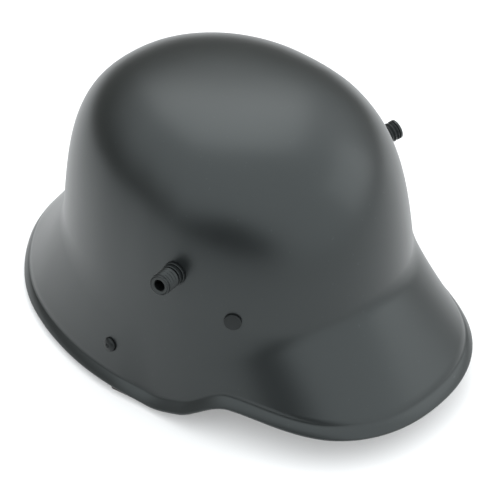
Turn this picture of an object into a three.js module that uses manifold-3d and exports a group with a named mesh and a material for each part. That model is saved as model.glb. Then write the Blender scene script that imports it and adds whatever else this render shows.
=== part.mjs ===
// A steel helmet with a visor and a flared skirt, two hollow vent lugs, rivets and a leather chin strap.
// Millimetres, +Z up, the visor towards -Y, the wearer's right towards -X, standing on Z = 0.
import * as THREE from 'three';
import { mergeVertices } from 'three/addons/utils/BufferGeometryUtils.js';
import Module from 'manifold-3d';

// Sizes of the shell
const rimLength = 328;
const rimWidth = 219;
const crownFront = 112;
const crownRear = 121;
const crownWidth = 196;
const crownHeight = 173;
const apexSetback = 8.5;
const valleyHeight = 62.5;
const creaseSize = 20;
const notchRise = 24;
const bandWidth = 7;
const hemWidth = 4.5;
const hemThickness = 2.8;
const wall = 1.2;

// Shape numbers of the crown: the power of its oval and of the way it leans back
const ovalPower = 2.04;
const setbackPower = 1.5;

// Clearance between pieces
const gap = 0.3;

// Sizes of a vent lug
const lugBearing = 69;
const lugRise = 40;
const lugLength = 16.5;
const lugBore = 6.8;
const lugFlange = 14.4;
const lugBarrel = 12;
const lugLip = 12.8;
const lugShank = 9.4;
const lugCollar = 12;
const lugCollarDepth = 1.4;
const ridgeCount = 3;
const ridgeDepth = 0.35;
const lugChamfer = 0.4;

// Sizes of a liner rivet
const linerBearing = 49;
const linerRise = 13.5;
const linerHead = 10.4;
const linerHeadHeight = 1.5;
const linerChamfer = 0.4;
const linerShank = 4;
const linerTail = 9;
const linerTailDepth = 1.2;

// Sizes of a chin strap rivet
const chinBearing = 95.5;
const chinPlace = 0.46;
const chinHead = 9;
const chinHeadHeight = 2.8;
const chinEdgeHeight = 0.8;
const chinDimple = 2.8;
const chinDimpleDepth = 0.9;
const chinShank = 3.6;
const chinTail = 8.4;
const chinTailDepth = 1.5;

// Sizes of the chin strap
const strapWidth = 16;
const strapThickness = 1.4;
const strapBend = 0.3;
const strapClearance = 0.5;
const strapEnd = 9;
const strapLanding = 87.5;

// Numbers of facets
const bearingSteps = 76;
const domeSteps = 12;
const creaseSteps = 5;
const skirtSteps = 2;
const hemSteps = 4;
const lugSides = 16;
const rivetSides = 12;
const domedSteps = 4;
const strapWallSteps = 4;
const strapBendSteps = 8;
const strapRunSteps = 8;
const sliver = 0.004;

// Sections of the shell from the visor round to the nape, the same on both sides.
// bearing: degrees from the front. reach: share of the rim's oval. rise: share of notchRise.
// valley: share of valleyHeight. lean: the wall's lean over the valley, degrees.
// band: slope of the rim band, degrees. above, below: shares of creaseSize.
const sections = table(
  ['bearing', 'reach', 'rise', 'valley', 'lean', 'band', 'above', 'below'],
  [
    [0, 0.973, 0.77, 1.18, 7.5, 50, 0.3, 0.35],
    [25, 1.012, 0.83, 1.1, 7.5, 50, 0.3, 0.35],
    [50, 0.955, 1.0, 1.05, 5, 50, 0.6, 0.7],
    [66, 0.985, 0.35, 1.0, 4.5, 50, 1.0, 1.0],
    [78, 0.985, 0.11, 0.985, 6.5, 50, 1.0, 0.9],
    [92, 1.01, 0.165, 0.975, 8, 55, 0.9, 0.8],
    [110, 1.025, 0.14, 1.0, 7.5, 55, 0.6, 0.6],
    [135, 1.032, 0.125, 1.02, 7.5, 55, 0.35, 0.35],
    [160, 1.01, 0.065, 1.0, 7.5, 58, 0.3, 0.3],
    [180, 1.027, 0, 0.975, 8, 58, 0.3, 0.3],
  ],
);

// Fullness of the dome. top: share of the crown's reach. wall: share of the dome's height.
const domes = table(
  ['bearing', 'top', 'wall'],
  [
    [0, 0.9, 0.56],
    [90, 0.92, 0.65],
    [180, 0.77, 0.78],
  ],
);

// Outline of a vent lug from its flange to its lip.
// along: share of lugLength. flange, barrel, lip: shares of those radii, added up.
const lugOutline = table(
  ['along', 'flange', 'barrel', 'lip'],
  [
    [0.1, 1, 0, 0],
    [0.13, 0.95, 0, 0],
    [0.15, 0.86, 0, 0],
    [0.19, 0.86, 0, 0],
    [0.2, 0.96, 0, 0],
    [0.3, 0.96, 0, 0],
    [0.33, 0, 1, 0],
    [0.82, 0, 1, 0],
    [0.84, 0, 0, 0.97],
    [0.88, 0, 0, 1],
    [0.95, 0, 0, 1],
    [1.0, 0, 0, 0.94],
  ],
);
const ridgeStart = 0.36;
const ridgeEnd = 0.8;

// Names the columns of a table
function table(columns, rows) {
  return rows.map((row) => Object.fromEntries(row.map((value, i) => [columns[i], value])));
}

// Value of a column at a bearing, on a smooth curve with no overshoot that is level at front and nape
function follow(rows, column, bearing) {
  const last = rows.length - 1;
  const points = [
    [-rows[1].bearing, rows[1][column]],
    ...rows.map((row) => [row.bearing, row[column]]),
    [360 - rows[last - 1].bearing, rows[last - 1][column]],
  ];
  let i = 1;
  while (i < last && bearing > points[i + 1][0]) {
    i += 1;
  }
  const rate = (k) => (points[k + 1][1] - points[k][1]) / (points[k + 1][0] - points[k][0]);
  const slope = (k) => {
    const before = rate(k - 1);
    const after = rate(k);
    if (before * after <= 0) {
      return 0;
    }
    const stepBefore = points[k][0] - points[k - 1][0];
    const stepAfter = points[k + 1][0] - points[k][0];
    const weightBefore = 2 * stepAfter + stepBefore;
    const weightAfter = stepAfter + 2 * stepBefore;
    return (weightBefore + weightAfter) / (weightBefore / before + weightAfter / after);
  };
  const step = points[i + 1][0] - points[i][0];
  const t = (bearing - points[i][0]) / step;
  const leave = 1 - t;
  return (
    points[i][1] * leave * leave * (1 + 2 * t) +
    points[i + 1][1] * t * t * (3 - 2 * t) +
    step * t * leave * (slope(i) * leave - slope(i + 1) * t)
  );
}

const radians = THREE.MathUtils.degToRad;

// Radius of an oval at a bearing
function oval(bearing, along, across, power) {
  const a = Math.abs(Math.cos(radians(bearing)) / along) ** power;
  const b = Math.abs(Math.sin(radians(bearing)) / across) ** power;
  return (a + b) ** (-1 / power);
}

// The section of the shell's outer face at a bearing: the sizes, curves and corners that it runs through
function sectionAt(anyBearing) {
  const bearing = Math.abs(((anyBearing + 180) % 360 + 360) % 360 - 180);
  const at = (column) => follow(sections, column, bearing);
  const crown = oval(bearing, bearing < 90 ? crownFront : crownRear, crownWidth / 2, ovalPower);
  const reach = oval(bearing, rimLength / 2, rimWidth / 2, 2) * at('reach');
  const valley = valleyHeight * at('valley');
  const domeHeight = crownHeight - valley;
  const fullness = follow(domes, 'wall', bearing) * domeHeight;
  const dome = new THREE.CubicBezierCurve(
    new THREE.Vector2(0, crownHeight),
    new THREE.Vector2(crown * follow(domes, 'top', bearing), crownHeight),
    new THREE.Vector2(crown - fullness * Math.tan(radians(at('lean'))), valley + fullness),
    new THREE.Vector2(crown, valley),
  );
  const domeEnd = solve((t) => dome.getPoint(t).y, valley + creaseSize * at('above'), 0, 1);
  const slope = radians(at('band'));
  const along = new THREE.Vector2(Math.cos(slope), -Math.sin(slope));
  const inward = new THREE.Vector2(along.y, -along.x);
  const hemRadius = hemThickness / 2;
  const edge = new THREE.Vector2(
    reach - hemRadius * (1 - Math.sin(slope)),
    notchRise * at('rise') + hemRadius * (1 + Math.cos(slope)),
  );
  const fold = edge.clone().addScaledVector(along, -bandWidth);
  const valleyPoint = new THREE.Vector2(crown, valley);
  const skirtAlong = fold.clone().sub(valleyPoint).normalize();
  const skirtStart = valleyPoint.clone().addScaledVector(skirtAlong, creaseSize * at('below'));
  const crease = new THREE.QuadraticBezierCurve(dome.getPoint(domeEnd), valleyPoint, skirtStart);
  const skirt = new THREE.LineCurve(skirtStart, fold);
  return { valley, dome, domeEnd, crease, skirt, fold, edge, along, inward };
}

// The place between two ends where a falling measure has a wanted value
function solve(measure, wanted, from, to) {
  let low = from;
  let high = to;
  for (let i = 0; i < 40; i += 1) {
    const middle = (low + high) / 2;
    if (measure(middle) > wanted) {
      low = middle;
    } else {
      high = middle;
    }
  }
  return (low + high) / 2;
}

// A point of the outer face in its section: 0 to 1 on the dome, 1 to 2 in the crease, 2 to 3 on the skirt
function outlinePoint(section, place) {
  if (place <= 1) {
    return section.dome.getPoint(place * section.domeEnd);
  }
  if (place <= 2) {
    return section.crease.getPoint(place - 1);
  }
  return section.skirt.getPoint(place - 2);
}

// The outer face in its section, from the apex to the rim's edge
function outerLine(section) {
  const line = [];
  [domeSteps, creaseSteps, skirtSteps].forEach((steps, stretch) => {
    for (let i = 0; i < steps; i += 1) {
      line.push(outlinePoint(section, stretch + i / steps));
    }
  });
  line.push(section.fold, section.edge);
  return line;
}

// A line moved towards the inside of the shell, with mitred corners
function offsetLine(line, distance) {
  const last = line.length - 1;
  const normals = line.slice(1).map((point, i) => {
    const step = point.clone().sub(line[i]).normalize();
    return new THREE.Vector2(step.y, -step.x);
  });
  normals[0].set(0, -1);
  return line.map((point, i) => {
    const before = normals[Math.max(i - 1, 0)];
    const after = normals[Math.min(i, last - 1)];
    const mean = before.clone().add(after).normalize();
    return point.clone().addScaledVector(mean, distance / mean.dot(after));
  });
}

// The hem that is turned in under the band, from the rim's edge to its inner lip
function hemLine(section, grow) {
  const radius = hemThickness / 2;
  const centre = section.edge.clone().addScaledVector(section.inward, radius);
  const line = [];
  for (let i = 0; i <= hemSteps; i += 1) {
    const turn = (Math.PI * i) / hemSteps;
    line.push(
      centre
        .clone()
        .addScaledVector(section.inward, -(radius + grow) * Math.cos(turn))
        .addScaledVector(section.along, (radius + grow) * Math.sin(turn)),
    );
  }
  const lip = line[hemSteps].clone().addScaledVector(section.along, -(hemWidth + grow));
  const step = lip.clone().addScaledVector(section.inward, wall - hemThickness);
  return [...line, lip, step];
}

// A point of a section set at its bearing, leant back towards the apex
function placeAt(bearing, point) {
  const share = Math.max(0, (point.y - valleyHeight) / (crownHeight - valleyHeight));
  const setback = apexSetback * share ** setbackPower;
  return new THREE.Vector3(
    -point.x * Math.sin(radians(bearing)),
    -point.x * Math.cos(radians(bearing)) + setback,
    point.y,
  );
}

// The whole shell as one closed mesh, grown all over by a clearance
function shellGeometry(grow) {
  const rings = [];
  for (let j = 0; j < bearingSteps; j += 1) {
    const bearing = (360 * j) / bearingSteps;
    const section = sectionAt(bearing);
    const line = outerLine(section);
    const outside = offsetLine(line, -grow).slice(0, -1);
    const inside = offsetLine(line, wall + grow).slice(0, -1);
    const loop = [...outside, ...hemLine(section, grow), ...inside.reverse()];
    rings.push(loop.map((point) => placeAt(bearing, point)));
  }
  const perRing = rings[0].length;
  const positions = rings.flat().flatMap((point) => point.toArray());
  const triangles = [];
  for (let j = 0; j < bearingSteps; j += 1) {
    const here = j * perRing;
    const next = ((j + 1) % bearingSteps) * perRing;
    for (let i = 0; i < perRing - 1; i += 1) {
      triangles.push([here + i, next + i, here + i + 1]);
      triangles.push([next + i, next + i + 1, here + i + 1]);
    }
  }
  return closedGeometry(positions, triangles);
}

// A geometry of shared vertices, without the triangles that shrink to nothing
function closedGeometry(positions, triangles) {
  const loose = new THREE.BufferGeometry();
  loose.setAttribute('position', new THREE.Float32BufferAttribute(positions, 3));
  loose.setIndex(triangles.flat());
  const merged = mergeVertices(loose, 1e-4);
  const index = merged.getIndex().array;
  const kept = [];
  for (let i = 0; i < index.length; i += 3) {
    const [a, b, c] = [index[i], index[i + 1], index[i + 2]];
    if (a !== b && b !== c && c !== a) {
      kept.push(a, b, c);
    }
  }
  merged.setIndex(kept);
  return merged;
}

const wasm = await Module();
wasm.setup();

// A solid made from a closed geometry, for cutting and joining
function solidOf(geometry) {
  const bare = geometry.clone();
  bare.deleteAttribute('normal');
  bare.deleteAttribute('uv');
  const merged = closedGeometry(Array.from(bare.getAttribute('position').array), indexOf(bare));
  return new wasm.Manifold(
    new wasm.Mesh({
      numProp: 3,
      vertProperties: Float32Array.from(merged.getAttribute('position').array),
      triVerts: Uint32Array.from(merged.getIndex().array),
    }),
  );
}

// The triangles of a geometry as rows of three
function indexOf(geometry) {
  const count = geometry.getIndex() ? geometry.getIndex().count : geometry.getAttribute('position').count;
  const rows = [];
  for (let i = 0; i < count; i += 3) {
    rows.push([0, 1, 2].map((k) => (geometry.getIndex() ? geometry.getIndex().getX(i + k) : i + k)));
  }
  return rows;
}

// A geometry made from a solid, without the slivers that cutting leaves
function geometryOf(solid) {
  const mesh = solid.simplify(sliver).getMesh();
  const geometry = new THREE.BufferGeometry();
  geometry.setAttribute('position', new THREE.Float32BufferAttribute(mesh.vertProperties, mesh.numProp));
  geometry.setIndex(Array.from(mesh.triVerts));
  geometry.computeVertexNormals();
  return geometry;
}

// The frame of a fixture on the shell: its seat on the outer face, with Z along the face's normal
function seatFrame(bearing, place) {
  const pointAt = (someBearing, somePlace) => {
    const section = sectionAt(someBearing);
    return placeAt(someBearing, outlinePoint(section, somePlace));
  };
  const nearby = 0.01;
  const round = pointAt(bearing + 1, place).sub(pointAt(bearing - 1, place));
  const down = pointAt(bearing, place + nearby).sub(pointAt(bearing, place - nearby));
  const normal = round.cross(down).normalize();
  const up = new THREE.Vector3(0, 0, 1);
  const across = up.clone().cross(normal).normalize();
  const frame = new THREE.Matrix4().makeBasis(across, normal.clone().cross(across), normal);
  return frame.setPosition(pointAt(bearing, place));
}

// The place on a section's outer face that has a height over the valley
function placeAbove(bearing, rise) {
  const section = sectionAt(bearing);
  return solve((place) => outlinePoint(section, place).y, section.valley + rise, 0, 3);
}

// A round bar along a fixture's axis, through the shell and past both its faces
function bar(frame, radius, reach, sides) {
  const geometry = new THREE.CylinderGeometry(radius, radius, 2 * reach, sides);
  geometry.rotateX(Math.PI / 2);
  return solidOf(geometry.applyMatrix4(frame));
}

// A turned piece from its radius and height rows, which start and end on the axis or close on themselves
function turned(rows, sides) {
  const profile = rows.map(([radius, height]) => new THREE.Vector2(radius, height));
  return new THREE.LatheGeometry(profile, sides).rotateX(Math.PI / 2);
}

// Vent lug: flange, groove, collar, ridged barrel and lip round an open bore, with a collar inside
function lugShape() {
  const bore = lugBore / 2;
  const outline = [];
  lugOutline.forEach((row) => {
    const radius = (row.flange * lugFlange + row.barrel * lugBarrel + row.lip * lugLip) / 2;
    if (row.barrel === 1 && row.along > ridgeStart) {
      for (let i = 0; i < 2 * ridgeCount; i += 1) {
        const along = ridgeStart + ((ridgeEnd - ridgeStart) * (i + 0.5)) / (2 * ridgeCount);
        outline.push([radius + (i % 2 ? 0 : ridgeDepth), along * lugLength]);
      }
    }
    outline.push([radius, row.along * lugLength]);
  });
  const inside = -(wall + gap + lugCollarDepth);
  const rows = [
    [bore, inside],
    [lugCollar / 2, inside],
    [lugCollar / 2, -wall / 2],
    [lugFlange / 2, -wall / 2],
    ...outline,
    [bore + lugChamfer, lugLength],
    [bore, lugLength - lugChamfer],
    [bore, inside],
  ];
  return turned(rows, lugSides);
}

// Liner rivet: a flat disc outside and a plain tail inside
function linerRivetShape() {
  const inside = -(wall + gap + linerTailDepth);
  const rows = [
    [0, inside],
    [linerTail / 2, inside],
    [linerTail / 2, -wall / 2],
    [linerHead / 2, -wall / 2],
    [linerHead / 2, linerHeadHeight - linerChamfer],
    [linerHead / 2 - linerChamfer, linerHeadHeight],
    [0, linerHeadHeight],
  ];
  return turned(rows, rivetSides);
}

// Chin strap rivet: a dimpled dome outside and a post with a plain head inside, behind the strap
function chinRivetShape(strapRoom) {
  const inside = -(strapRoom + chinTailDepth);
  const dome = [];
  const domeHeight = chinHeadHeight - chinEdgeHeight;
  const dimple = chinDimple / chinHead;
  for (let i = 0; i <= domedSteps; i += 1) {
    const share = 1 - ((1 - dimple) * i) / domedSteps;
    dome.push([(share * chinHead) / 2, chinEdgeHeight + domeHeight * Math.sqrt(1 - share ** 2)]);
  }
  const rows = [
    [0, inside],
    [chinTail / 2, inside],
    [chinTail / 2, -strapRoom],
    [chinShank / 2, -strapRoom],
    [chinShank / 2, -wall / 2],
    [chinHead / 2, -wall / 2],
    ...dome,
    [chinDimple / 4, chinHeadHeight - chinDimpleDepth],
    [0, chinHeadHeight - chinDimpleDepth],
  ];
  return turned(rows, rivetSides);
}

// The shell's inner side at a bearing and a height
function insidePoint(bearing, height) {
  const section = sectionAt(bearing);
  const line = offsetLine(outerLine(section), wall);
  const i = line.findIndex((point, k) => k > 0 && point.y < height);
  const share = (line[i - 1].y - height) / (line[i - 1].y - line[i].y);
  return placeAt(bearing, line[i - 1].clone().lerp(line[i], share));
}

// Level direction along the shell's inner side, towards the nape
function napeward(bearing, height) {
  return insidePoint(bearing + 4, height).sub(insidePoint(bearing - 4, height)).normalize();
}

// The chin strap's frame where it lands on the right: d outward, t towards the nape, z up from the floor
const strapFrame = makeStrapFrame();
function makeStrapFrame() {
  const section = sectionAt(strapLanding);
  const nape = napeward(strapLanding, section.fold.y);
  return {
    base: placeAt(strapLanding, section.edge).setZ(0),
    nape,
    outward: new THREE.Vector3(-nape.y, nape.x, 0),
  };
}

function strapCoordinates(point) {
  const offset = point.clone().sub(strapFrame.base);
  return { d: offset.dot(strapFrame.outward), t: offset.dot(strapFrame.nape), z: point.z };
}

// The least value of a measure of the shell across the strap's width at its landing
function leastAcross(measure) {
  const samples = 20;
  const margin = 1.2;
  const reach = THREE.MathUtils.radToDeg((margin * strapWidth) / rimWidth);
  let least = Infinity;
  for (let i = 0; i <= samples; i += 1) {
    least = Math.min(least, measure(strapLanding + reach * ((2 * i) / samples - 1)));
  }
  return least;
}

// The strap's outer side seen along the rim: down the skirt, under the lip, round a bend and flat
function strapProfile(post) {
  const section = sectionAt(strapLanding);
  const slope = radians(follow(sections, 'band', strapLanding));
  const topHeight = post.z + strapEnd;
  const topBearing = strapLanding + ((chinBearing - strapLanding) * topHeight) / post.z;
  const bulge = (strapWidth / 2) ** 2 / rimWidth;
  const top = strapCoordinates(insidePoint(topBearing, topHeight));
  const low = leastAcross((bearing) => strapCoordinates(insidePoint(bearing, section.fold.y)).d);
  const lipLine = leastAcross((bearing) => {
    const around = sectionAt(bearing);
    const lip = strapCoordinates(placeAt(bearing, hemLine(around, 0)[hemSteps + 1]));
    return lip.d * Math.sin(slope) + lip.z * Math.cos(slope) - strapClearance;
  });
  const kneeHeight = (lipLine - (low - strapClearance) * Math.sin(slope)) / Math.cos(slope);
  const bendRadius = strapBend + strapThickness;
  const turn = Math.PI - slope;
  const centre = lipLine / Math.sin(slope) - bendRadius * Math.tan(turn / 2);
  const points = [];
  for (let i = 0; i <= strapWallSteps; i += 1) {
    const share = i / strapWallSteps;
    points.push({
      d: (top.d - bulge) * (1 - share) + low * share - strapClearance,
      z: topHeight * (1 - share) + kneeHeight * share,
    });
  }
  for (let i = 0; i <= strapBendSteps; i += 1) {
    const angle = slope + (turn * i) / strapBendSteps;
    points.push({
      d: centre + bendRadius * Math.sin(angle),
      z: bendRadius + bendRadius * Math.cos(angle),
    });
  }
  return { points, topNape: napeward(topBearing, topHeight) };
}

// Frame of the chin strap rivet on one side: 1 the wearer's right, -1 the left
function chinFrame(side) {
  return seatFrame(side * chinBearing, 2 + chinPlace);
}

// Normals of the strap's profile, pointing to the strap's inner side
function profileNormals(points) {
  const steps = points.slice(1).map((point, i) => {
    const length = Math.hypot(point.d - points[i].d, point.z - points[i].z);
    return { d: (point.z - points[i].z) / length, z: -(point.d - points[i].d) / length };
  });
  steps.push({ d: 0, z: 1 });
  return points.map((point, i) => {
    const before = steps[Math.max(i - 1, 0)];
    const after = steps[i];
    const sum = { d: before.d + after.d, z: before.z + after.z };
    const length = Math.hypot(sum.d, sum.z);
    const cosine = (sum.d * after.d + sum.z * after.z) / length;
    return { d: sum.d / length / cosine, z: sum.z / length / cosine };
  });
}

// The strap as stations from the right post to the middle: the faces' front and nape corners
function strapStations() {
  const seat = new THREE.Vector3().setFromMatrixPosition(chinFrame(1));
  const post = strapCoordinates(seat);
  const { points, topNape } = strapProfile(post);
  const normals = profileNormals(points);
  const travel = [0];
  for (let i = 1; i < points.length; i += 1) {
    travel.push(travel[i - 1] + Math.hypot(points[i].d - points[i - 1].d, points[i].z - points[i - 1].z));
  }
  const bendMiddle = travel[strapWallSteps + 1 + strapBendSteps / 2];
  const slant = post.t / (bendMiddle - strapEnd);
  const halfSlanted = (strapWidth / 2) * Math.hypot(1, slant);
  const stations = points.map((point, i) => {
    const t = slant * (bendMiddle - travel[i]);
    const across = topNape.clone().lerp(strapFrame.nape, Math.min(1, i / strapWallSteps));
    const corner = (depth, side) =>
      strapFrame.base
        .clone()
        .addScaledVector(strapFrame.outward, point.d + depth * normals[i].d)
        .addScaledVector(strapFrame.nape, t)
        .addScaledVector(across, side * halfSlanted)
        .setZ(point.z + depth * normals[i].z);
    return [corner(0, -1), corner(0, 1), corner(strapThickness, 1), corner(strapThickness, -1)];
  });
  const last = stations[stations.length - 1];
  const landing = last[0].clone().add(last[1]).multiplyScalar(0.5);
  const bow = slant / (2 * landing.x);
  for (let i = 1; i <= strapRunSteps; i += 1) {
    const x = landing.x * (1 - i / strapRunSteps);
    const y = landing.y + bow * (landing.x * landing.x - x * x);
    const half = (strapWidth / 2) * Math.hypot(1, 2 * bow * x);
    const corner = (z, side) => new THREE.Vector3(x, y + side * half, z);
    stations.push([corner(0, -1), corner(0, 1), corner(strapThickness, 1), corner(strapThickness, -1)]);
  }
  return stations;
}

// The right half of the strap, closed at both its ends
function halfStrapGeometry() {
  const stations = strapStations();
  const positions = stations.flat().flatMap((corner) => corner.toArray());
  const triangles = [];
  for (let i = 0; i < stations.length - 1; i += 1) {
    for (let k = 0; k < 4; k += 1) {
      const here = [4 * i + k, 4 * i + ((k + 1) % 4)];
      const next = [here[0] + 4, here[1] + 4];
      triangles.push([here[0], here[1], next[0]], [next[0], here[1], next[1]]);
    }
  }
  const end = 4 * (stations.length - 1);
  triangles.push([0, 2, 1], [0, 3, 2], [end, end + 1, end + 2], [end, end + 2, end + 3]);
  return closedGeometry(positions, triangles);
}

// Distance from the shell's outer face to the strap's inner side along a post, with a clearance
function strapRoom() {
  const frame = chinFrame(1);
  const seat = strapCoordinates(new THREE.Vector3().setFromMatrixPosition(frame));
  const axis = new THREE.Vector3().setFromMatrixColumn(frame, 2);
  const { points } = strapProfile(seat);
  const top = points[0];
  const knee = points[strapWallSteps];
  const share = (top.z - seat.z) / (top.z - knee.z);
  const outerFace = top.d + (knee.d - top.d) * share;
  const level = Math.hypot(1, (knee.d - top.d) / (top.z - knee.z));
  return (seat.d - outerFace) * axis.dot(strapFrame.outward) + strapThickness * level + 2 * gap;
}

// Materials
const paint = { color: 0x565b5c, roughness: 0.45, metalness: 0.25 };
const materials = {
  shell: new THREE.MeshStandardMaterial(paint),
  lug: new THREE.MeshStandardMaterial({ ...paint, color: 0x43494b }),
  rivet: new THREE.MeshStandardMaterial({ ...paint, color: 0x4f5455 }),
  strap: new THREE.MeshStandardMaterial({ color: 0x2b211a, roughness: 0.75, metalness: 0 }),
};

// Fixtures through the shell, each with its frame, its shape and the shank that fills its hole
const sides = { right: 1, left: -1 };
const fixtures = [];
for (const [name, side] of Object.entries(sides)) {
  fixtures.push({
    name: `vent_lug_${name}`,
    material: materials.lug,
    frame: seatFrame(side * lugBearing, placeAbove(lugBearing, lugRise)),
    shape: lugShape(),
    shank: lugShank / 2,
    facets: lugSides,
  });
}
for (const [name, bearing] of [['right', linerBearing], ['left', -linerBearing], ['rear', 180]]) {
  fixtures.push({
    name: `liner_rivet_${name}`,
    material: materials.rivet,
    frame: seatFrame(bearing, placeAbove(bearing, linerRise)),
    shape: linerRivetShape(),
    shank: linerShank / 2,
    facets: rivetSides,
  });
}
for (const [name, side] of Object.entries(sides)) {
  fixtures.push({
    name: `chinstrap_rivet_${name}`,
    material: materials.rivet,
    frame: chinFrame(side),
    shape: chinRivetShape(strapRoom()),
    shank: chinShank / 2,
    facets: rivetSides,
  });
}

// The shell with its holes, and the room that the fixtures keep clear of it
const holeReach = 6 * wall;
let shell = solidOf(shellGeometry(0));
let shellRoom = solidOf(shellGeometry(gap));
for (const { frame, shank, facets } of fixtures) {
  shell = shell.subtract(bar(frame, shank + gap, holeReach, facets));
  shellRoom = shellRoom.subtract(bar(frame, shank, holeReach, facets));
}

// The rim's oval is centred, so the whole helmet moves by half of what the nape reaches further
const helmet = new THREE.Group();
helmet.position.y = (sectionAt(0).edge.x - sectionAt(180).edge.x) / 2;

const shellMesh = new THREE.Mesh(geometryOf(shell), materials.shell);
shellMesh.name = 'shell';
helmet.add(shellMesh);

for (const { name, material, frame, shape } of fixtures) {
  const back = frame.clone().invert();
  const solid = solidOf(shape.clone().applyMatrix4(frame)).subtract(shellRoom);
  const mesh = new THREE.Mesh(geometryOf(solid).applyMatrix4(back), material);
  mesh.name = name;
  mesh.applyMatrix4(frame);
  helmet.add(mesh);
}

// The strap with a hole for each post
const halfStrap = solidOf(halfStrapGeometry());
let strap = halfStrap.add(halfStrap.mirror([1, 0, 0]));
for (const side of Object.values(sides)) {
  strap = strap.subtract(bar(chinFrame(side), chinShank / 2 + gap, strapWidth, rivetSides));
}
const strapMesh = new THREE.Mesh(geometryOf(strap), materials.strap);
strapMesh.name = 'chin_strap';
helmet.add(strapMesh);

const group = new THREE.Group();
group.add(helmet);

export default group;
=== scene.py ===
# The looks of the stahlhelm: a smooth painted shell, turned lugs and rivets, a leather strap,
# light and camera
import math

import bpy
from mathutils import Matrix, Vector


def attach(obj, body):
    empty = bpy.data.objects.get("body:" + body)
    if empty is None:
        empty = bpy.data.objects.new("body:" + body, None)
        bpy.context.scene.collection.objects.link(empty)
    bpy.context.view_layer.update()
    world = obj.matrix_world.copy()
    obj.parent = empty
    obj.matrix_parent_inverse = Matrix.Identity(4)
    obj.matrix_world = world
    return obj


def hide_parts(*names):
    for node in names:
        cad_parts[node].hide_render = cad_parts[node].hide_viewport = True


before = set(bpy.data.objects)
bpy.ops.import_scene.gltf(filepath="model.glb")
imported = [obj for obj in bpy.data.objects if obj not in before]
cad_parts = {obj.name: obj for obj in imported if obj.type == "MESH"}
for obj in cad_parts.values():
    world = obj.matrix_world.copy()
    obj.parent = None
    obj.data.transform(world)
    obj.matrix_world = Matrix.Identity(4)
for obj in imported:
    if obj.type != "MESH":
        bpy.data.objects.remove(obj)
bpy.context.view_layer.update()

MM = 0.001

# Sizes of the shell, in millimetres
RIM_LENGTH = 328
RIM_WIDTH = 219
CROWN_FRONT = 112
CROWN_REAR = 121
CROWN_WIDTH = 196
CROWN_HEIGHT = 173
APEX_SETBACK = 8.5
VALLEY_HEIGHT = 62.5
CREASE_SIZE = 20
NOTCH_RISE = 24
BAND_WIDTH = 7
FOLD_ROUND = 2
FOLD_DIP = 0.8
HEM_WIDTH = 4.5
HEM_THICKNESS = 2.8
WALL = 1.2
CROWN_POWER = 2.04
RIM_POWER = 2
SETBACK_POWER = 1.5
GAP = 0.3

# Sizes of a vent lug
LUG_BEARING = 69
LUG_RISE = 40
LUG_LENGTH = 16.5
LUG_BORE = 6.8
LUG_FLANGE = 14.4
LUG_FLANGE_HEIGHT = 1.9
LUG_GROOVE = 1
LUG_STEP = 13.6
LUG_STEP_START = 3
LUG_STEP_END = 4.9
LUG_BARREL = 11.2
LUG_RIDGES = 4
RIDGE_DEPTH = 0.8
LUG_LIP = 12.8
LUG_LIP_START = 14.9
LUG_RING = 11.4
RING_GROOVE = 0.25
LUG_EDGE = 0.35
LUG_CHAMFER = 0.4
LUG_SHANK = 9.4
LUG_COLLAR = 12
LUG_COLLAR_DEPTH = 1.4

# Sizes of the rivets
LINER_BEARING = 49
LINER_RISE = 13.5
LINER_HEAD = 10.4
LINER_HEAD_HEIGHT = 1.5
LINER_EDGE = 0.4
LINER_SHANK = 4
LINER_TAIL = 9
LINER_TAIL_DEPTH = 1.2
CHIN_BEARING = 95.5
CHIN_PLACE = 0.46
CHIN_HEAD = 9
CHIN_HEAD_HEIGHT = 2.8
CHIN_EDGE_HEIGHT = 0.8
CHIN_DIMPLE = 2.8
CHIN_DIMPLE_DEPTH = 0.9
CHIN_DIMPLE_FLOOR = 1.4
CHIN_SHANK = 3.6
CHIN_TAIL = 8.4
CHIN_TAIL_DEPTH = 1.5
CHIN_TAIL_REACH = 3.8

# Numbers of facets
BEARING_STEPS = 288
DOME_STEPS = 40
CREASE_STEPS = 12
SKIRT_STEPS = 10
FOLD_STEPS = 6
HEM_STEPS = 12
TURNED_SIDES = 64
DOMED_STEPS = 12
ROUND_STEPS = 4
RIDGE_STEPS = 6

# Angles in degrees above which an edge stays sharp
SHARP_ANGLE = 35
LUG_SHARP_ANGLE = 28

# Places down the outer face at which the dome, the crease and the skirt end, from 0 at the apex
DOME_END = 1
CREASE_END = 2
SKIRT_END = 3

# Sections of the shell from the visor round to the nape: the bearing, the dome's lean and the rim
# band's slope in degrees, and shares of the rim's oval, the notch's rise, the valley's height and
# the crease's size
SECTION_COLUMNS = ("bearing", "reach", "rise", "valley", "lean", "band", "above", "below")
SECTIONS = [
    dict(zip(SECTION_COLUMNS, row))
    for row in [
        (0, 0.973, 0.77, 1.18, 7.5, 50, 0.3, 0.35),
        (25, 1.012, 0.83, 1.1, 7.5, 50, 0.3, 0.35),
        (50, 0.955, 1.0, 1.05, 5, 50, 0.6, 0.7),
        (66, 0.985, 0.35, 1.0, 4.5, 50, 1.0, 1.0),
        (78, 0.985, 0.11, 0.985, 6.5, 50, 1.0, 0.9),
        (92, 1.01, 0.165, 0.975, 8, 55, 0.9, 0.8),
        (110, 1.025, 0.14, 1.0, 7.5, 55, 0.6, 0.6),
        (135, 1.032, 0.125, 1.02, 7.5, 55, 0.35, 0.35),
        (160, 1.01, 0.065, 1.0, 7.5, 58, 0.3, 0.3),
        (180, 1.027, 0, 0.975, 8, 58, 0.3, 0.3),
    ]
]

# Shares of the crown's reach and of the dome's height that make the dome full
DOMES = [
    dict(bearing=0, top=0.9, wall=0.56),
    dict(bearing=90, top=0.92, wall=0.65),
    dict(bearing=180, top=0.77, wall=0.78),
]


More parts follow.
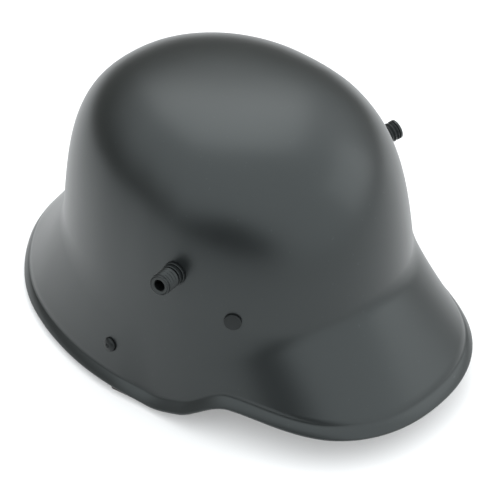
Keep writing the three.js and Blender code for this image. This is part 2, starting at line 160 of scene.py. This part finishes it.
# Value of a column at a bearing, on a smooth curve with no overshoot that is level at front and nape
def follow(rows, column, bearing):
    last = len(rows) - 1
    points = [(-rows[1]["bearing"], rows[1][column])]
    points += [(row["bearing"], row[column]) for row in rows]
    points.append((360 - rows[last - 1]["bearing"], rows[last - 1][column]))
    i = 1
    while i < last and bearing > points[i + 1][0]:
        i += 1

    def rate(k):
        return (points[k + 1][1] - points[k][1]) / (points[k + 1][0] - points[k][0])

    def slope(k):
        before, after = rate(k - 1), rate(k)
        if before * after <= 0:
            return 0
        step_before = points[k][0] - points[k - 1][0]
        step_after = points[k + 1][0] - points[k][0]
        weight_before = 2 * step_after + step_before
        weight_after = step_after + 2 * step_before
        return (weight_before + weight_after) / (weight_before / before + weight_after / after)

    step = points[i + 1][0] - points[i][0]
    t = (bearing - points[i][0]) / step
    leave = 1 - t
    return (
        points[i][1] * leave * leave * (1 + 2 * t)
        + points[i + 1][1] * t * t * (3 - 2 * t)
        + step * t * leave * (slope(i) * leave - slope(i + 1) * t)
    )


# Reach of an oval at a bearing; a power over 2 makes it squarer
def oval(bearing, along, across, power):
    a = abs(math.cos(math.radians(bearing)) / along) ** power
    b = abs(math.sin(math.radians(bearing)) / across) ** power
    return (a + b) ** (-1 / power)


def bezier(corners, t):
    points = [Vector(corner) for corner in corners]
    while len(points) > 1:
        points = [a.lerp(b, t) for a, b in zip(points, points[1:])]
    return points[0]


HALVINGS = 40


# The value between low and high at which a falling measure meets the wanted one
def solve(measure, wanted, low, high):
    for _ in range(HALVINGS):
        middle = (low + high) / 2
        if measure(middle) > wanted:
            low = middle
        else:
            high = middle
    return (low + high) / 2


# Corners and curves of the outer face at a bearing
def section_at(any_bearing):
    bearing = abs((any_bearing + 180) % 360 - 180)
    row = {column: follow(SECTIONS, column, bearing) for column in SECTION_COLUMNS[1:]}
    crown = oval(bearing, CROWN_FRONT if bearing < 90 else CROWN_REAR, CROWN_WIDTH / 2, CROWN_POWER)
    reach = oval(bearing, RIM_LENGTH / 2, RIM_WIDTH / 2, RIM_POWER) * row["reach"]
    valley = VALLEY_HEIGHT * row["valley"]
    height = CROWN_HEIGHT - valley
    fullness = follow(DOMES, "wall", bearing) * height
    dome = [
        (0, CROWN_HEIGHT),
        (crown * follow(DOMES, "top", bearing), CROWN_HEIGHT),
        (crown - fullness * math.tan(math.radians(row["lean"])), valley + fullness),
        (crown, valley),
    ]
    dome_end = solve(lambda t: bezier(dome, t).y, valley + CREASE_SIZE * row["above"], 0, 1)
    slope = math.radians(row["band"])
    along = Vector((math.cos(slope), -math.sin(slope)))
    inward = Vector((along.y, -along.x))
    radius = HEM_THICKNESS / 2
    edge = Vector(
        (
            reach - radius * (1 - math.sin(slope)),
            NOTCH_RISE * row["rise"] + radius * (1 + math.cos(slope)),
        )
    )
    fold = edge - along * BAND_WIDTH
    corner = Vector((crown, valley))
    skirt_along = (fold - corner).normalized()
    skirt_start = corner + skirt_along * (CREASE_SIZE * row["below"])
    return {
        "valley": valley,
        "dome": dome,
        "dome_end": dome_end,
        "crease": [bezier(dome, dome_end), corner, skirt_start],
        "skirt": [skirt_start, fold],
        "fold": [fold - skirt_along * FOLD_ROUND, fold, fold + along * FOLD_ROUND],
        "edge": edge,
        "along": along,
        "inward": inward,
    }


# A point of the outer face on the dome, in the crease or on the skirt
def outline_point(section, place):
    if place <= DOME_END:
        return bezier(section["dome"], place * section["dome_end"])
    if place <= CREASE_END:
        return bezier(section["crease"], place - DOME_END)
    return bezier(section["skirt"], place - CREASE_END)


# The outer face from the apex to the rim, with a shallow groove above the rim band
def outer_line(section, dip):
    line = []
    start, corner, end = section["fold"]
    fold = [start, corner + section["inward"] * dip, end]
    for stretch, steps in enumerate((DOME_STEPS, CREASE_STEPS, SKIRT_STEPS)):
        line += [outline_point(section, stretch + i / steps) for i in range(steps)]
    line += [bezier(fold, i / FOLD_STEPS) for i in range(FOLD_STEPS + 1)]
    line.append(section["edge"])
    return line


# The line moved inward by a distance, square to itself
def offset_line(line, distance):
    normals = []
    for a, b in zip(line, line[1:]):
        step = (b - a).normalized()
        normals.append(Vector((step.y, -step.x)))
    normals[0] = Vector((0, -1))
    moved = []
    for i, point in enumerate(line):
        before = normals[max(i - 1, 0)]
        after = normals[min(i, len(normals) - 1)]
        mean = (before + after).normalized()
        moved.append(point + mean * (distance / mean.dot(after)))
    return moved


# The turned-in hem: a half round at the edge, and a lip back up on the inside
def hem_line(section):
    radius = HEM_THICKNESS / 2
    centre = section["edge"] + section["inward"] * radius
    line = []
    for i in range(HEM_STEPS + 1):
        turn = math.pi * i / HEM_STEPS
        line.append(
            centre
            - section["inward"] * (radius * math.cos(turn))
            + section["along"] * (radius * math.sin(turn))
        )
    lip = line[-1] - section["along"] * HEM_WIDTH
    return line + [lip, lip + section["inward"] * (WALL - HEM_THICKNESS)]


SHIFT = (section_at(0)["edge"].x - section_at(180)["edge"].x) / 2


# A point of a section set at its bearing, leant back towards the apex, in millimetres
def place_at(bearing, point):
    share = max(0, (point.y - VALLEY_HEIGHT) / (CROWN_HEIGHT - VALLEY_HEIGHT))
    setback = APEX_SETBACK * share**SETBACK_POWER
    angle = math.radians(bearing)
    x = -point.x * math.sin(angle)
    y = -point.x * math.cos(angle) + setback + SHIFT
    return Vector((x, y, point.y))


def mesh_object(name, points, faces, material, sharp=SHARP_ANGLE):
    mesh = bpy.data.meshes.new(name)
    mesh.from_pydata([tuple(point * MM) for point in points], [], faces)
    mesh.validate()
    mesh.materials.append(material)
    mesh.shade_smooth()
    mesh.set_sharp_from_angle(angle=math.radians(sharp))
    obj = bpy.data.objects.new(name, mesh)
    bpy.context.scene.collection.objects.link(obj)
    return obj


BLACK = (0, 0, 0)
WHITE = (1, 1, 1)

# Paint: scales of its noises, tones as shares of its colour, and spreads of its roughness
CLOUD_SCALE = 18
CLOUD_DETAIL = 3
CLOUD_TONE = 0.88
CLOUD_START = 0.35
CLOUD_END = 0.65
SPECK_SCALE = 420
SPECK_DETAIL = 2
SPECK_TONE = 2.2
SPECK_START = 0.715
SPECK_END = 0.75
GLOSS_BELOW = 0.03
GLOSS_ABOVE = 0.04
PAINT_GRAIN_SCALE = 900
PAINT_GRAIN_DETAIL = 2
PAINT_GRAIN_STRENGTH = 0.06
PAINT_GRAIN_DEPTH = 0.0002
PAINT_SHEEN_TINT = (0.92, 1.0, 1.0, 1)

# Leather: its grain's noise, tone and depth, and its roughness
LEATHER_SCALE = 700
LEATHER_DETAIL = 4
LEATHER_TONE = 0.6
LEATHER_START = 0.3
LEATHER_END = 0.7
LEATHER_ROUGHNESS = 0.6
LEATHER_STRENGTH = 0.3
LEATHER_DEPTH = 0.0003


def new_material(name):
    material = bpy.data.materials.new(name)
    material.use_nodes = True
    nodes = material.node_tree.nodes
    return material, nodes, material.node_tree.links, nodes["Principled BSDF"]


# Noise that stays fixed to the piece
def noise(nodes, links, scale, detail):
    place = nodes.new("ShaderNodeTexCoord")
    texture = nodes.new("ShaderNodeTexNoise")
    texture.inputs["Scale"].default_value = scale
    texture.inputs["Detail"].default_value = detail
    links.new(place.outputs["Object"], texture.inputs["Vector"])
    return texture.outputs["Fac"]


# A colour that goes from the first of two stops to the second as the value rises
def ramp(nodes, links, value, stops):
    node = nodes.new("ShaderNodeValToRGB")
    for element, (position, color) in zip(node.color_ramp.elements, stops):
        element.position = position
        element.color = (*color, 1)
    links.new(value, node.inputs["Fac"])
    return node.outputs["Color"]


# A fine relief on the surface, from a height
def roughen(nodes, links, shader, height, strength, depth):
    bump = nodes.new("ShaderNodeBump")
    bump.inputs["Strength"].default_value = strength
    bump.inputs["Distance"].default_value = depth
    links.new(height, bump.inputs["Height"])
    links.new(bump.outputs["Normal"], shader.inputs["Normal"])


def toned(color, tone):
    return tuple(tone * part for part in color)


# Satin paint: faint clouds in the colour and gloss, a fine grain, and small pale specks
def paint(name, color, roughness, specular):
    material, nodes, links, shader = new_material(name)
    clouds = noise(nodes, links, CLOUD_SCALE, CLOUD_DETAIL)
    specks = noise(nodes, links, SPECK_SCALE, SPECK_DETAIL)
    tone = ramp(nodes, links, clouds, [(CLOUD_START, toned(color, CLOUD_TONE)), (CLOUD_END, color)])
    speck_mask = ramp(nodes, links, specks, [(SPECK_START, BLACK), (SPECK_END, WHITE)])
    mix = nodes.new("ShaderNodeMix")
    mix.data_type = "RGBA"
    links.new(speck_mask, mix.inputs["Factor"])
    links.new(tone, mix.inputs["A"])
    mix.inputs["B"].default_value = (*toned(color, SPECK_TONE), 1)
    links.new(mix.outputs["Result"], shader.inputs["Base Color"])
    gloss = nodes.new("ShaderNodeMapRange")
    gloss.inputs["To Min"].default_value = roughness - GLOSS_BELOW
    gloss.inputs["To Max"].default_value = roughness + GLOSS_ABOVE
    links.new(clouds, gloss.inputs["Value"])
    links.new(gloss.outputs["Result"], shader.inputs["Roughness"])
    grain = noise(nodes, links, PAINT_GRAIN_SCALE, PAINT_GRAIN_DETAIL)
    roughen(nodes, links, shader, grain, PAINT_GRAIN_STRENGTH, PAINT_GRAIN_DEPTH)
    shader.inputs["Specular Tint"].default_value = PAINT_SHEEN_TINT
    shader.inputs["Specular IOR Level"].default_value = specular
    return material


# Matt leather with a grain in its tone and relief
def leather(name, color):
    material, nodes, links, shader = new_material(name)
    grain = noise(nodes, links, LEATHER_SCALE, LEATHER_DETAIL)
    darker = toned(color, LEATHER_TONE)
    tone = ramp(nodes, links, grain, [(LEATHER_START, darker), (LEATHER_END, color)])
    links.new(tone, shader.inputs["Base Color"])
    shader.inputs["Roughness"].default_value = LEATHER_ROUGHNESS
    roughen(nodes, links, shader, grain, LEATHER_STRENGTH, LEATHER_DEPTH)
    return material


shell_paint = paint("shell_paint", color=(0.008, 0.0092, 0.0095), roughness=0.32, specular=0.5)
lug_paint = paint("lug_paint", color=(0.006, 0.0068, 0.007), roughness=0.34, specular=0.42)
rivet_paint = paint("rivet_paint", color=(0.0045, 0.005, 0.0052), roughness=0.34, specular=0.28)
strap_leather = leather("strap_leather", color=(0.03, 0.021, 0.016))


# The shell: rings of one closed section at every bearing, and a fan at the apex outside and inside
def make_shell():
    points = []
    faces = []
    for j in range(BEARING_STEPS):
        bearing = 360 * j / BEARING_STEPS
        section = section_at(bearing)
        line = outer_line(section, FOLD_DIP)
        inside = offset_line(outer_line(section, 0), WALL)[:-1]
        loop = line[1:-1] + hem_line(section) + inside[:0:-1]
        points += [place_at(bearing, point) for point in loop]
    count = len(points) // BEARING_STEPS
    for j in range(BEARING_STEPS):
        here = j * count
        after = (j + 1) % BEARING_STEPS * count
        for i in range(count - 1):
            faces.append((here + i, after + i, after + i + 1, here + i + 1))
    top = len(points)
    points.append(place_at(0, Vector((0, CROWN_HEIGHT))))
    points.append(place_at(0, Vector((0, CROWN_HEIGHT - WALL))))
    for j in range(BEARING_STEPS):
        here = j * count
        after = (j + 1) % BEARING_STEPS * count
        faces.append((top, after, here))
        faces.append((top + 1, here + count - 1, after + count - 1))
    return mesh_object("shell_skin", points, faces, shell_paint)


shell = make_shell()
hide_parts("shell")
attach(shell, "root")

# Small steps to both sides of a fixture, in degrees and down the face, that give the face's slant
NEARBY_BEARING = 1
NEARBY_PLACE = 0.01


# The seat of a fixture on the shell's outer face: Z along the face's normal, Y up the face
def seat_frame(bearing, place):
    def point_at(some_bearing, some_place):
        return place_at(some_bearing, outline_point(section_at(some_bearing), some_place))

    further = point_at(bearing + NEARBY_BEARING, place)
    across_shell = further - point_at(bearing - NEARBY_BEARING, place)
    lower = point_at(bearing, place + NEARBY_PLACE)
    down = lower - point_at(bearing, place - NEARBY_PLACE)
    normal = across_shell.cross(down).normalized()
    across = Vector((0, 0, 1)).cross(normal).normalized()
    axes = Matrix((across, normal.cross(across), normal)).transposed().to_4x4()
    return Matrix.Translation(point_at(bearing, place)) @ axes


# The place down the outer face that lies a rise above the valley
def place_above(bearing, rise):
    section = section_at(bearing)
    wanted = section["valley"] + rise
    return solve(lambda place: outline_point(section, place).y, wanted, 0, SKIRT_END)


# A turned piece from rows of radius and height, closed on the axis where they start and end on it
def turned(name, rows, seat, material, sharp=SHARP_ANGLE):
    points = []
    faces = []
    open_bore = rows[0][0] > 0
    ring_rows = rows if open_bore else rows[1:-1]
    for radius, height in ring_rows:
        for k in range(TURNED_SIDES):
            angle = 2 * math.pi * k / TURNED_SIDES
            point = Vector((radius * math.cos(angle), radius * math.sin(angle), height))
            points.append(seat @ point)
    count = len(ring_rows)
    for i in range(count if open_bore else count - 1):
        for k in range(TURNED_SIDES):
            after = (k + 1) % TURNED_SIDES
            lower = i * TURNED_SIDES
            upper = (i + 1) % count * TURNED_SIDES
            faces.append((lower + k, lower + after, upper + after, upper + k))
    if not open_bore:
        points += [seat @ Vector((0, 0, rows[0][1])), seat @ Vector((0, 0, rows[-1][1]))]
        top = (count - 1) * TURNED_SIDES
        for k in range(TURNED_SIDES):
            after = (k + 1) % TURNED_SIDES
            faces.append((len(points) - 2, after, k))
            faces.append((len(points) - 1, top + k, top + after))
    return mesh_object(name, points, faces, material, sharp)


# An arc of rows that rounds the upper corner at a radius and height
def rounded(radius, height, size):
    rows = []
    for i in range(ROUND_STEPS + 1):
        turn = math.pi / 2 * i / ROUND_STEPS
        out = radius - size * (1 - math.cos(turn))
        rise = height - size * (1 - math.sin(turn))
        rows.append((out, rise))
    return rows


def lug_rows():
    outside = LUG_FLANGE / 2
    collar = -(WALL + GAP)
    rows = [
        (LUG_BORE / 2, collar - LUG_COLLAR_DEPTH),
        (LUG_COLLAR / 2, collar - LUG_COLLAR_DEPTH),
        (LUG_COLLAR / 2, collar),
        (LUG_SHANK / 2, collar),
        (LUG_SHANK / 2, GAP),
        (outside, GAP),
    ]
    rows += rounded(outside, LUG_FLANGE_HEIGHT, LUG_EDGE)
    rows += [(outside - LUG_GROOVE, LUG_FLANGE_HEIGHT), (outside - LUG_GROOVE, LUG_STEP_START)]
    rows.append((LUG_STEP / 2, LUG_STEP_START))
    rows += rounded(LUG_STEP / 2, LUG_STEP_END, LUG_EDGE)
    barrel = LUG_BARREL / 2
    pitch = (LUG_LIP_START - LUG_STEP_END) / LUG_RIDGES
    for i in range(LUG_RIDGES):
        for k in range(RIDGE_STEPS):
            share = k / RIDGE_STEPS
            depth = RIDGE_DEPTH * (0.5 - 0.5 * math.cos(2 * math.pi * share))
            rows.append((barrel + depth, LUG_STEP_END + pitch * (i + share)))
    rows.append((LUG_LIP / 2, LUG_LIP_START))
    rows += rounded(LUG_LIP / 2, LUG_LENGTH, LUG_EDGE)
    ring = LUG_RING / 2
    rows += [
        (ring, LUG_LENGTH),
        (ring - RING_GROOVE, LUG_LENGTH - RING_GROOVE),
        (ring - 2 * RING_GROOVE, LUG_LENGTH),
        (LUG_BORE / 2 + LUG_CHAMFER, LUG_LENGTH),
        (LUG_BORE / 2, LUG_LENGTH - LUG_CHAMFER),
    ]
    return rows


def liner_rivet_rows():
    tail = -(WALL + GAP)
    return [
        (0, tail - LINER_TAIL_DEPTH),
        (LINER_TAIL / 2, tail - LINER_TAIL_DEPTH),
        (LINER_TAIL / 2, tail),
        (LINER_SHANK / 2, tail),
        (LINER_SHANK / 2, GAP),
        (LINER_HEAD / 2, GAP),
        *rounded(LINER_HEAD / 2, LINER_HEAD_HEIGHT, LINER_EDGE),
        (0, LINER_HEAD_HEIGHT),
    ]


def chin_rivet_rows():
    tail = -CHIN_TAIL_REACH
    rows = [
        (0, tail - CHIN_TAIL_DEPTH),
        (CHIN_TAIL / 2, tail - CHIN_TAIL_DEPTH),
        (CHIN_TAIL / 2, tail),
        (CHIN_SHANK / 2, tail),
        (CHIN_SHANK / 2, GAP),
        (CHIN_HEAD / 2, GAP),
    ]
    dimple = CHIN_DIMPLE / CHIN_HEAD
    for i in range(DOMED_STEPS + 1):
        share = 1 - (1 - dimple) * i / DOMED_STEPS
        height = CHIN_EDGE_HEIGHT + (CHIN_HEAD_HEIGHT - CHIN_EDGE_HEIGHT) * math.sqrt(1 - share**2)
        rows.append((share * CHIN_HEAD / 2, height))
    dimple_floor = CHIN_HEAD_HEIGHT - CHIN_DIMPLE_DEPTH
    rows += [(CHIN_DIMPLE_FLOOR / 2, dimple_floor), (0, dimple_floor)]
    return rows


# A dressed fixture stands for its node: the node is hidden and the fixture rides with the root body
def dress(piece, node):
    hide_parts(node)
    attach(piece, "root")


SIDES = {"right": 1, "left": -1}
holes = []
for side_name, side in SIDES.items():
    seat = seat_frame(side * LUG_BEARING, place_above(LUG_BEARING, LUG_RISE))
    lug = turned(f"vent_lug_turned_{side_name}", lug_rows(), seat, lug_paint, LUG_SHARP_ANGLE)
    dress(lug, f"vent_lug_{side_name}")
    holes.append((seat, LUG_SHANK / 2 + GAP))
for name, bearing in (("right", LINER_BEARING), ("left", -LINER_BEARING), ("rear", 180)):
    seat = seat_frame(bearing, place_above(bearing, LINER_RISE))
    rivet = turned(f"liner_rivet_turned_{name}", liner_rivet_rows(), seat, rivet_paint)
    dress(rivet, f"liner_rivet_{name}")
    holes.append((seat, LINER_SHANK / 2 + GAP))
for side_name, side in SIDES.items():
    seat = seat_frame(side * CHIN_BEARING, CREASE_END + CHIN_PLACE)
    rivet = turned(f"chinstrap_rivet_turned_{side_name}", chin_rivet_rows(), seat, rivet_paint)
    dress(rivet, f"chinstrap_rivet_{side_name}")
    holes.append((seat, CHIN_SHANK / 2 + GAP))

# The holes in the shell for the fixtures' shanks
HOLE_REACH = 5
cutters = []
for number, (seat, radius) in enumerate(holes):
    rows = [(0, -HOLE_REACH), (radius, -HOLE_REACH), (radius, HOLE_REACH), (0, HOLE_REACH)]
    cutters.append(turned(f"cutter_{number}", rows, seat, shell_paint))
for cutter in cutters:
    cut = shell.modifiers.new(cutter.name, "BOOLEAN")
    cut.object = cutter
    cut.operation = "DIFFERENCE"
    cut.solver = "EXACT"
bpy.context.view_layer.update()
evaluated_shell = shell.evaluated_get(bpy.context.evaluated_depsgraph_get())
cut_mesh = bpy.data.meshes.new_from_object(evaluated_shell)
shell.modifiers.clear()
shell.data = cut_mesh
for cutter in cutters:
    bpy.data.objects.remove(cutter)

# The strap keeps its own shape and takes the leather
strap_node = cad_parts["chin_strap"]
strap_node.data.materials.clear()
strap_node.data.materials.append(strap_leather)

# Camera: the bearing and height that it stands at, its roll, distance in millimetres and
# sideways moves, and its lens as a focal length in pixels
VIEW_AZIMUTH = math.radians(-47.5)
VIEW_ELEVATION = math.radians(39.03)
VIEW_ROLL = math.radians(0.75)
VIEW_DISTANCE = 1028.5
VIEW_HEIGHT = 80
MOVE_RIGHT = 5.82
MOVE_UP = -19.59
FOCAL_PIXELS = 1671.9
PHOTO_WIDTH = 500
SENSOR_WIDTH = 36

back = Vector(
    (
        math.sin(VIEW_AZIMUTH) * math.cos(VIEW_ELEVATION),
        -math.cos(VIEW_AZIMUTH) * math.cos(VIEW_ELEVATION),
        math.sin(VIEW_ELEVATION),
    )
)
level = Vector((math.cos(VIEW_AZIMUTH), math.sin(VIEW_AZIMUTH), 0))
upright = back.cross(level)
right = level * math.cos(VIEW_ROLL) + upright * math.sin(VIEW_ROLL)
up = upright * math.cos(VIEW_ROLL) - level * math.sin(VIEW_ROLL)
position = Vector((0, SHIFT, VIEW_HEIGHT)) + right * MOVE_RIGHT + up * MOVE_UP
position += back * VIEW_DISTANCE

camera_data = bpy.data.cameras.new("camera")
camera_data.lens = FOCAL_PIXELS * SENSOR_WIDTH / PHOTO_WIDTH
camera_data.sensor_width = SENSOR_WIDTH
camera = bpy.data.objects.new("camera", camera_data)
camera_axes = Matrix((right, up, back)).transposed().to_4x4()
camera.matrix_world = Matrix.Translation(position * MM) @ camera_axes
bpy.context.scene.collection.objects.link(camera)
bpy.context.scene.camera = camera

# White floor, in metres, that glows a little
FLOOR_REACH = 4
FLOOR_DROP = 0.0002
FLOOR_TONE = 0.66
FLOOR_GLOW = 0.24
FLOOR_ROUGHNESS = 0.9
FLOOR_SPECULAR = 0.1
bpy.ops.mesh.primitive_plane_add(size=2 * FLOOR_REACH, location=(0, 0, -FLOOR_DROP))
floor = bpy.context.object
floor.name = "floor"
floor_white, _, _, floor_shader = new_material("floor_white")
floor_shader.inputs["Base Color"].default_value = (*toned(WHITE, FLOOR_TONE), 1)
floor_shader.inputs["Emission Color"].default_value = (*WHITE, 1)
floor_shader.inputs["Emission Strength"].default_value = FLOOR_GLOW
floor_shader.inputs["Roughness"].default_value = FLOOR_ROUGHNESS
floor_shader.inputs["Specular IOR Level"].default_value = FLOOR_SPECULAR
floor.data.materials.append(floor_white)


# What the softboxes face: the middle of the helmet, in metres
LIGHT_AIM = Vector((0, 0, 0.1))


def softbox(name, place, width, height, power):
    data = bpy.data.lights.new(name, "AREA")
    data.shape = "RECTANGLE"
    data.size = width
    data.size_y = height
    data.energy = power
    light = bpy.data.objects.new(name, data)
    stand = Vector(place)
    turn = (LIGHT_AIM - stand).to_track_quat("-Z", "Y").to_matrix().to_4x4()
    light.matrix_world = Matrix.Translation(stand) @ turn
    bpy.context.scene.collection.objects.link(light)


# One softbox high behind the helmet, and one in front on the wearer's left
softbox("behind", place=(0.6, 0.6, 1.5), width=1.3, height=1.3, power=8)
softbox("right_front", place=(1.1, -0.95, 0.9), width=1.4, height=1.0, power=4)

# The room round the helmet
world = bpy.data.worlds.new("room")
world.use_nodes = True
bpy.context.scene.world = world
room_nodes = world.node_tree.nodes
room_links = world.node_tree.links
directions = room_nodes.new("ShaderNodeTexCoord").outputs["Generated"]


# From 0 to 1, softly, while the value goes from low to high
def soft_step(value, low, high):
    portion = room_nodes.new("ShaderNodeMapRange")
    portion.interpolation_type = "SMOOTHSTEP"
    portion.inputs["From Min"].default_value = low
    portion.inputs["From Max"].default_value = high
    room_links.new(value, portion.inputs["Value"])
    return portion.outputs["Result"]


# The first colour where the factor is 0, the second where it is 1
def blend(factor, first, second):
    mix = room_nodes.new("ShaderNodeMix")
    mix.data_type = "RGBA"
    mix.clamp_factor = True
    for socket, value in (("A", first), ("B", second)):
        if isinstance(value, tuple):
            mix.inputs[socket].default_value = (*value, 1)
        else:
            room_links.new(value, mix.inputs[socket])
    room_links.new(factor, mix.inputs["Factor"])
    return mix.outputs["Result"]


# Cosine of the angle between a direction and a spot of the room
def nearness(azimuth, elevation):
    toward = room_nodes.new("ShaderNodeVectorMath")
    toward.operation = "DOT_PRODUCT"
    toward.inputs[1].default_value = (
        math.sin(azimuth) * math.cos(elevation),
        -math.cos(azimuth) * math.cos(elevation),
        math.sin(elevation),
    )
    room_links.new(directions, toward.inputs[0])
    return toward.outputs["Value"]


# A pale canopy overhead that fades toward the horizon, and a dark side low on the wearer's right:
# where each lies, and how far round that spot it is full and where it ends
CANOPY_AZIMUTH = math.radians(-12)
CANOPY_ELEVATION = math.radians(66)
CANOPY_FULL = math.radians(58)
CANOPY_EDGE = math.radians(96)
DARK_AZIMUTH = math.radians(-62)
DARK_ELEVATION = math.radians(-8)
DARK_FULL = math.radians(26)
DARK_EDGE = math.radians(42)
WALL_LIGHT = (0.2, 0.2, 0.18)
CANOPY_LIGHT = (1.8, 1.86, 1.89)
DARK_LIGHT = (0.02, 0.02, 0.02)
canopy_nearness = nearness(CANOPY_AZIMUTH, CANOPY_ELEVATION)
canopy = soft_step(canopy_nearness, math.cos(CANOPY_EDGE), math.cos(CANOPY_FULL))
dark_nearness = nearness(DARK_AZIMUTH, DARK_ELEVATION)
dark = soft_step(dark_nearness, math.cos(DARK_EDGE), math.cos(DARK_FULL))
room = blend(dark, blend(canopy, WALL_LIGHT, CANOPY_LIGHT), DARK_LIGHT)

# Looked at straight, the room is a plain white backdrop
straight = room_nodes.new("ShaderNodeLightPath").outputs["Is Camera Ray"]
backdrop = blend(straight, room, WHITE)
room_links.new(backdrop, room_nodes["Background"].inputs["Color"])

bpy.context.scene.view_settings.view_transform = "Standard"
